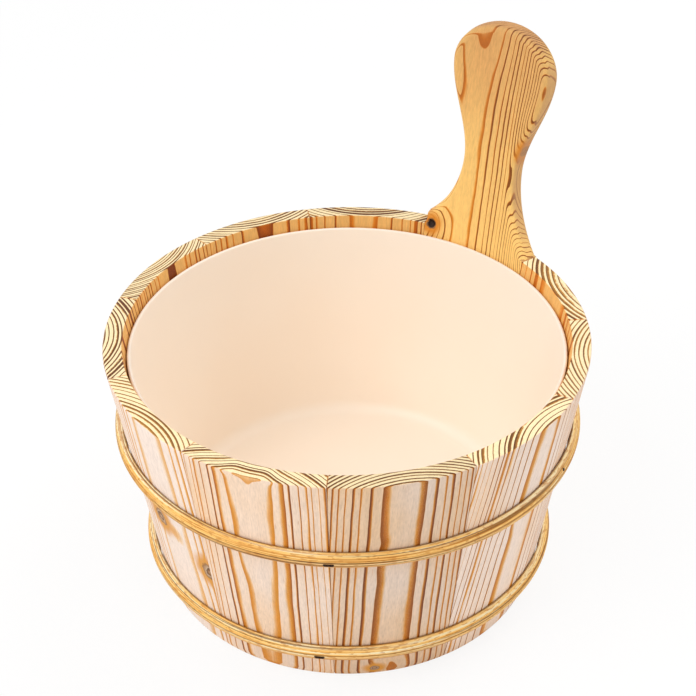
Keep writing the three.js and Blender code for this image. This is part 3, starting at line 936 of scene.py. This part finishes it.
# Colours of early wood, late wood, end grain and knots, and the tint that warm wood is multiplied by
PineLook = namedtuple("PineLook", "early tan amber rust dark end_pale end_amber end_dark tint knot_pale")
STAVE_LOOK = PineLook(
    early=srgb(243, 224, 210), tan=srgb(238, 202, 158),
    amber=srgb(222, 152, 54), rust=srgb(188, 112, 24), dark=srgb(130, 68, 8),
    end_pale=srgb(254, 232, 184), end_amber=srgb(200, 140, 60), end_dark=srgb(98, 52, 8),
    tint=srgb(255, 214, 134), knot_pale=srgb(204, 176, 146),
)
# The handle's look is partly the board's own colour and partly painted shade: it is made more amber than
# the staves, for the softer, bounced light that the handle is in
HANDLE_LOOK = PineLook(
    early=srgb(252, 206, 122), tan=srgb(247, 187, 98),
    amber=srgb(222, 138, 38), rust=srgb(186, 106, 28), dark=srgb(142, 80, 24),
    end_pale=srgb(218, 162, 102), end_amber=srgb(192, 126, 62), end_dark=srgb(116, 64, 26),
    tint=srgb(230, 208, 212), knot_pale=srgb(132, 84, 40),
)
KNOT_BROWN = srgb(160, 112, 66)
KNOT_DARK = srgb(92, 58, 30)
# Painted shade inside the loose knot's hollow
HOLE_SHADE = srgb(44, 24, 12)
# Painted shade: the colour that the handle's side faces are greyed towards
HANDLE_SIDE_SHADE = srgb(200, 150, 106)
HOOP_PALE = srgb(255, 240, 196)
HOOP_GOLD = srgb(255, 215, 136)
HOOP_TAN = srgb(254, 197, 108)
HOOP_BROWN = srgb(198, 128, 54)
# Grain lines of the hoops, and painted shade in their groove and along their top edge
HOOP_LINE_AND_SHADE = srgb(104, 60, 24)
# Painted shade under the hoops' groove
HOOP_UNDER_SHADE = srgb(226, 184, 142)
LINER_PINK = srgb(253, 236, 217)
LINER_CREAM = srgb(254, 244, 231)
LINER_SPECK = srgb(140, 100, 70)
# Painted shade: the staples' wire is coloured near black and dark brown, as it shows in shade
STEEL_SHADE = srgb(38, 26, 20)
STEEL_SHADE_BROWN = srgb(64, 46, 36)
STEEL_WORN = srgb(120, 104, 92)

# Scales of pine's patterns, per metre: twice across the grain, and along it
RING_WAVES = (((14, 14, 9), 0.35 * MM), ((70, 70, 42), 0.45 * MM))  # with the size of each
SWELLING = (40, 40, 16)
RAGGED_EDGE = (500, 500, 30)
CORE_EDGE = (260, 260, 190)
WARM_CLOUDS = (26, 26, 12)
FINE_FIBRES = (2400, 2400, 130)
FLECKS = (1300, 1300, 300)
STREAKS = (420, 420, 9)
RESIN_DUCTS = (1500, 1500, 110)

# Growth rings
UNEVEN_TURN = 2100.0  # radians per metre of the wave that makes some rings wider than others
UNEVEN_SIZE = 0.17  # of that wave, in rings
LATE_START = 0.66  # share of a ring at which its late wood usually starts
LATE_LAST_START = 0.86
LATE_FULL = 0.96
LATE_END = 0.965  # where it stops sharply, up to the ring's boundary
LATE_STRENGTH = 0.71

# Scales of the hoops' patterns, per metre: along the strip, across it, and from hoop to hoop
STRIP_BANDS = (5, 500, 3)
STRIP_FIBRES = (12, 1000, 3)
STRIP_CLOUDS = (28, 60, 3)
STRIP_WANDER = (14, 14, 1)
STRIP_GROOVE = (50, 50, 4)
STRIP_MARKS = {  # with the noise from which each shows, the noise at which it is full, strength and colour
    "hair": ((5, 1300, 7), 0.54, 0.6, 0.55, HOOP_BROWN),
    "dash": ((230, 1100, 5), 0.54, 0.62, 0.55, HOOP_BROWN),
    "line": ((6, 800, 9), 0.58, 0.65, 0.7, HOOP_LINE_AND_SHADE),
    "speck": ((330, 900, 5), 0.7, 0.77, 0.45, HOOP_LINE_AND_SHADE),
}


def ring_field(paint, log):
    """Distance from the pith in rings, whole at each ring's boundary, and 1 within the widest band."""
    edge, wide, ring = paint.split(paint.attribute("rings"))
    seed = paint.split(paint.attribute("tone"))[2]
    radius = paint.length(paint.scaled(log, (1, 1, 0)))
    for scale, size in RING_WAVES:
        radius = radius + paint.swing(log, scale, size)
    past = radius - edge
    inside = paint.math("MINIMUM", past, 0.0)
    beyond = paint.math("MAXIMUM", past, 0.0)
    uneven = paint.math("SINE", beyond * UNEVEN_TURN) * paint.math("SINE", seed) * UNEVEN_SIZE
    return inside / wide + beyond / ring + uneven, paint.math("LESS_THAN", past, 0.0)


def late_wood(paint, log, count, band, seed, end):
    """Share of late wood: it darkens through the ring, sooner on end grain, and stops at the boundary."""
    part = paint.math("FRACT", count)
    number = paint.math("FLOOR", count) + seed
    chance = paint.value("ShaderNodeTexWhiteNoise", "Value", {"W": number}, noise_dimensions="1D")
    swell = paint.swing(log, SWELLING, 0.55)
    ragged = paint.swing(log, RAGGED_EDGE, 0.2)
    power, thin = paint.split(paint.attribute("line"))[:2]
    usual = end * -0.07 + thin + LATE_START
    start = paint.math("MINIMUM", chance * -0.2 + band * 0.03 + swell + ragged + usual, LATE_LAST_START)
    rise = paint.ease(part, start, start * 0.5 + LATE_FULL / 2, 0.0, 0.5)
    deepen = paint.ease(part, start, LATE_FULL, 0.0, 0.5)
    fall = paint.ease(part, LATE_END, 1.0, 1.0, 0.0)
    strength = chance * 0.4 - band * 0.2 + LATE_STRENGTH
    return (rise + deepen) * fall * strength * power * (end * 0.2 + 1.0)


def knot_cores(paint, log, colour, look):
    """Paints the dark hearts of the knots, with rings of their own, and the amber wood round them."""
    for name in ("core_a", "core_b"):
        away = paint.length(paint.attribute(name)) + paint.swing(log, CORE_EDGE, 0.9)
        colour = paint.mix(paint.ease(away, 1.3, 2.9, 0.95, 0.0), colour, look.amber)
        rings = paint.math("FRACT", away * 1.7)
        heart = paint.ramp(rings, [(0.0, look.knot_pale), (0.55, KNOT_BROWN), (1.0, KNOT_DARK)])
        colour = paint.mix(paint.ease(away, 0.9, 1.12, 1.0, 0.0), colour, heart)
    return colour


def handle_marks(paint, colour, normal):
    """Painted shade on the side faces of the handle, and painted shade that makes the inside of the loose
    knot's hollow near black.
    """
    # Painted shade: faces turned to either side are greyed, as they show in shade
    aside = paint.math("ABSOLUTE", paint.split(normal)[0])
    colour = paint.mix(paint.ease(aside, 0.6, 0.95, 0.0, 0.6), colour, HANDLE_SIDE_SHADE)
    # Painted shade: the hollow is made near black inside
    in_hollow = paint.ease(paint.length(paint.attribute("core_a")), 0.75, 0.95, 1.0, 0.0)
    return paint.mix(in_hollow, colour, HOLE_SHADE)


def pine(name, look, is_handle=False):
    """Planed pine. Rings, knots and fibres all come from the piece's place in its log."""
    paint = new_paint(name)
    log = paint.attribute("log")
    warmth, shade, seed = paint.split(paint.attribute("tone"))
    count, band = ring_field(paint, log)

    # End grain shows where the surface faces along the log.
    normal = paint.node("ShaderNodeNewGeometry").outputs["Normal"]
    end = paint.ease(paint.math("ABSOLUTE", paint.dot(normal, paint.attribute("grain"))), 0.62, 0.92)
    late = late_wood(paint, log, count, band, seed, end)
    early_stops = [(0.1, look.early), (0.34, look.tan)]
    late_stops = [(0.6, look.amber), (0.84, look.rust), (1.0, look.dark)]
    end_stops = [(0.06, look.end_pale), (0.3, look.end_amber), (0.95, look.end_dark)]
    colour = paint.mix(end, paint.ramp(late, early_stops + late_stops), paint.ramp(late, end_stops))

    warm = paint.ease(paint.noise(log, WARM_CLOUDS) * 0.7 + warmth, 0.25, 1.0)
    colour = paint.mix(warm * (1.0 - end), colour, paint.mix(1.0, colour, look.tint, "MULTIPLY"))

    fine = paint.noise(log, FINE_FIBRES, 3.0, 0.65)
    streak = paint.noise(log, STREAKS)
    fibres = (fine - 0.5) * 0.4 + paint.swing(log, FLECKS, 0.32) + (streak - 0.5) * 0.16 + shade
    grey = paint.node("ShaderNodeCombineColor", {0: fibres, 1: fibres, 2: fibres}).outputs[0]
    colour = paint.mix(1.0, colour, grey, "MULTIPLY")

    # Resin ducts: short dark hairs along the grain.
    duct = paint.ease(paint.noise(log, RESIN_DUCTS, 1.0), 0.72, 0.79)
    colour = paint.mix(duct * 0.4, colour, look.rust)
    colour = knot_cores(paint, log, colour, look)
    if is_handle:
        colour = handle_marks(paint, colour, normal)

    bump = paint.bump(late * 0.6 + fine * 0.7 + streak * 0.25, 0.1 * MM, 0.55)
    roughness = fine * 0.16 - late * 0.12 + 0.55
    return paint.finish(Base_Color=colour, Roughness=roughness, Normal=bump, Specular_IOR_Level=0.3)


def hoop_wood():
    """Split strip: long fibres and thin dark lines, with painted light that makes it paler towards its top,
    and painted shade that makes it greyer under its groove and darkens its groove and its top edge.
    """
    paint = new_paint("hoop_wood")
    strip = paint.attribute("strip")
    across = paint.split(strip)[1]
    groove_at = HOOP_GROOVE_TURN * HOOP_HEIGHT / 2
    top = QUARTER * HOOP_HEIGHT / 2

    broad = paint.noise(strip, STRIP_BANDS)
    fibre = paint.noise(strip, STRIP_FIBRES, 4.0, 0.75)
    cloud = paint.noise(strip, STRIP_CLOUDS)
    # Painted light: paler towards the top and darker under the groove, as light from above falls on the
    # half-round face
    painted_top_light = paint.ease(across, groove_at, 0.75 * top, -0.04, 0.03)
    tone = broad * 0.35 + fibre * 0.55 + cloud * 0.16 + painted_top_light
    colour = paint.ramp(tone, [(0.41, HOOP_BROWN), (0.47, HOOP_TAN), (0.53, HOOP_GOLD), (0.6, HOOP_PALE)])

    wander = across + paint.swing(strip, STRIP_WANDER, 0.9 * MM)
    # Painted shade: the part under the groove, which faces downwards, is greyed
    under_groove_shade = paint.ease(wander, groove_at - 0.5 * MM, groove_at, 1.0, 0.0)
    colour = paint.mix(under_groove_shade * 0.25, colour, HOOP_UNDER_SHADE)

    marks = {}
    for name, (scale, low, high, strength, mark_colour) in STRIP_MARKS.items():
        marks[name] = paint.ease(paint.noise(strip, scale, 1.0), low, high)
        colour = paint.mix(marks[name] * strength, colour, mark_colour)
    # Painted shade: a dark line along the groove
    from_groove = paint.math("ABSOLUTE", wander - groove_at)
    groove = paint.ease(from_groove, 0.12 * MM, 0.5 * MM, 1.0, 0.0) * paint.noise(strip, STRIP_GROOVE, 1.0)
    # Painted shadow: a dark line along the top edge, where the strip meets the staves
    edge = paint.ease(across, top - 0.9 * MM, top - 0.3 * MM)
    for share in (groove, edge * 0.7):
        colour = paint.mix(share, colour, HOOP_LINE_AND_SHADE)

    bump = paint.bump(broad * 0.25 + fibre * 0.6 - marks["line"] * 0.4, 0.35 * MM, 0.8)
    roughness = fibre * 0.2 + 0.56
    return paint.finish(Base_Color=colour, Roughness=roughness, Normal=bump, Specular_IOR_Level=0.2)


def liner_plastic():
    """Satin moulded plastic with a faint skin texture and a few specks of dirt."""
    paint = new_paint("liner_plastic")
    place = paint.node("ShaderNodeTexCoord").outputs["Object"]
    cloud = paint.noise(place, (11, 11, 11))
    colour = paint.mix(cloud, LINER_PINK, LINER_CREAM)
    cells = paint.node("ShaderNodeTexVoronoi", {"Vector": place, "Scale": 30.0}).outputs
    chosen = paint.math("GREATER_THAN", paint.split(cells["Color"])[0], 0.8)
    dirt = paint.ease(cells["Distance"], 0.008, 0.014, 1.0, 0.0) * chosen
    colour = paint.mix(dirt * 0.7, colour, LINER_SPECK)
    texture = paint.noise(place, (1400, 1400, 1400))
    ripple = paint.noise(place, (60, 60, 18), 1.0)
    bump = paint.bump(texture * 0.3 + ripple, 0.05 * MM, 0.4)
    roughness = cloud * 0.08 + texture * 0.08 + 0.3
    return paint.finish(Base_Color=colour, Roughness=roughness, Normal=bump, Specular_IOR_Level=0.4)


def staple_steel():
    """Wire painted near black and dark brown as painted shade, worn brighter here and there."""
    paint = new_paint("staple_steel")
    place = paint.node("ShaderNodeTexCoord").outputs["Object"]
    # This noise mixes the painted shade with brighter worn patches
    shade_and_wear = paint.noise(place, (900, 900, 900), 3.0)
    colour = paint.ramp(shade_and_wear, [(0.35, STEEL_SHADE), (0.6, STEEL_SHADE_BROWN), (0.75, STEEL_WORN)])
    bump = paint.bump(shade_and_wear, 0.05 * MM, 0.5)
    return paint.finish(Base_Color=colour, Roughness=shade_and_wear * 0.3 + 0.3, Normal=bump, Metallic=0.85)


# Studio


def studio_world():
    """Soft light from all round, seen as white."""
    world = bpy.data.worlds.new("studio")
    bpy.context.scene.world = world
    paint = Shader(world)
    light = paint.node("ShaderNodeBackground", {"Color": WHITE, "Strength": AMBIENT})
    paint.seen_as_white(light, "World Output", 1.0, "ShaderNodeBackground")


def studio_floor():
    """White floor that keeps a faint shadow."""
    half = FLOOR_SIZE / 2
    mesh = bpy.data.meshes.new("floor")
    corners = [(-half, -half), (half, -half), (half, half), (-half, half)]
    mesh.from_pydata([(x, y, -FLOOR_DROP) for x, y in corners], [], [(0, 1, 2, 3)])
    floor = new_object("floor", mesh)
    paint = new_paint("floor_white")
    mesh.materials.append(paint.finish(Base_Color=FLOOR_COLOUR, Roughness=0.9, Specular_IOR_Level=0.0))
    surface = paint.tree.nodes["Principled BSDF"]
    paint.seen_as_white(surface, "Material Output", FLOOR_WHITE, "ShaderNodeEmission")


def picture_frame():
    """Turns the picture's own directions, rightwards, away and up, into the part's."""
    return Matrix.Translation(AXIS) @ Matrix.Rotation(HANDLE_AZIMUTH - HANDLE_BEARING, 4, "Z")


def soft_box(name, place, power):
    """A square lamp at a place given in the picture's directions, aimed at the middle of the bucket."""
    lamp = bpy.data.lights.new(name, "AREA")
    lamp.size = LAMP_SIZE
    lamp.energy = power
    holder = new_object(name, lamp)
    position = picture_frame() @ Vector(place)
    target = AXIS + Vector((0, 0, BODY_HEIGHT / 2))
    holder.location = position
    holder.rotation_mode = "QUATERNION"
    holder.rotation_quaternion = (target - position).to_track_quat("-Z", "Y")


def photo_camera():
    back = Vector((0, -math.cos(CAMERA_ELEVATION), math.sin(CAMERA_ELEVATION)))
    level_right = Vector((1, 0, 0))
    level_up = Vector((0, math.sin(CAMERA_ELEVATION), math.cos(CAMERA_ELEVATION)))
    right = math.cos(CAMERA_ROLL) * level_right + math.sin(CAMERA_ROLL) * level_up
    up = -math.sin(CAMERA_ROLL) * level_right + math.cos(CAMERA_ROLL) * level_up
    pose = Matrix((right, up, back)).transposed().to_4x4()
    pose.translation = back * CAMERA_DISTANCE + right * CAMERA_ASIDE + up * CAMERA_RAISED
    camera = bpy.data.cameras.new("camera")
    camera.sensor_width = SENSOR_MM
    camera.lens = SENSOR_MM * CAMERA_FOCAL_PIXELS / IMAGE_PIXELS
    camera.clip_start = CAMERA_NEAR
    holder = new_object("camera", camera)
    holder.matrix_world = picture_frame() @ pose
    bpy.context.scene.camera = holder


def main():
    stave_pine = pine("stave_pine", STAVE_LOOK)
    for number in range(1, len(STAVE_WIDTHS)):
        plain_stave(number, stave_pine)
    handle_stave(pine("handle_pine", HANDLE_LOOK, is_handle=True))
    for number in range(1, BOARD_COUNT + 1):
        bottom_board(number, stave_pine)
    strip = hoop_wood()
    for which in HOOP_MIDDLES:
        hoop(which, strip)
    steel = staple_steel()
    staples(steel)
    side_pin(steel)
    liner(liner_plastic())
    studio_world()
    studio_floor()
    for name, (place, power) in LAMPS.items():
        soft_box(name, place, power)
    photo_camera()
    bpy.context.scene.view_settings.view_transform = "Standard"


main()
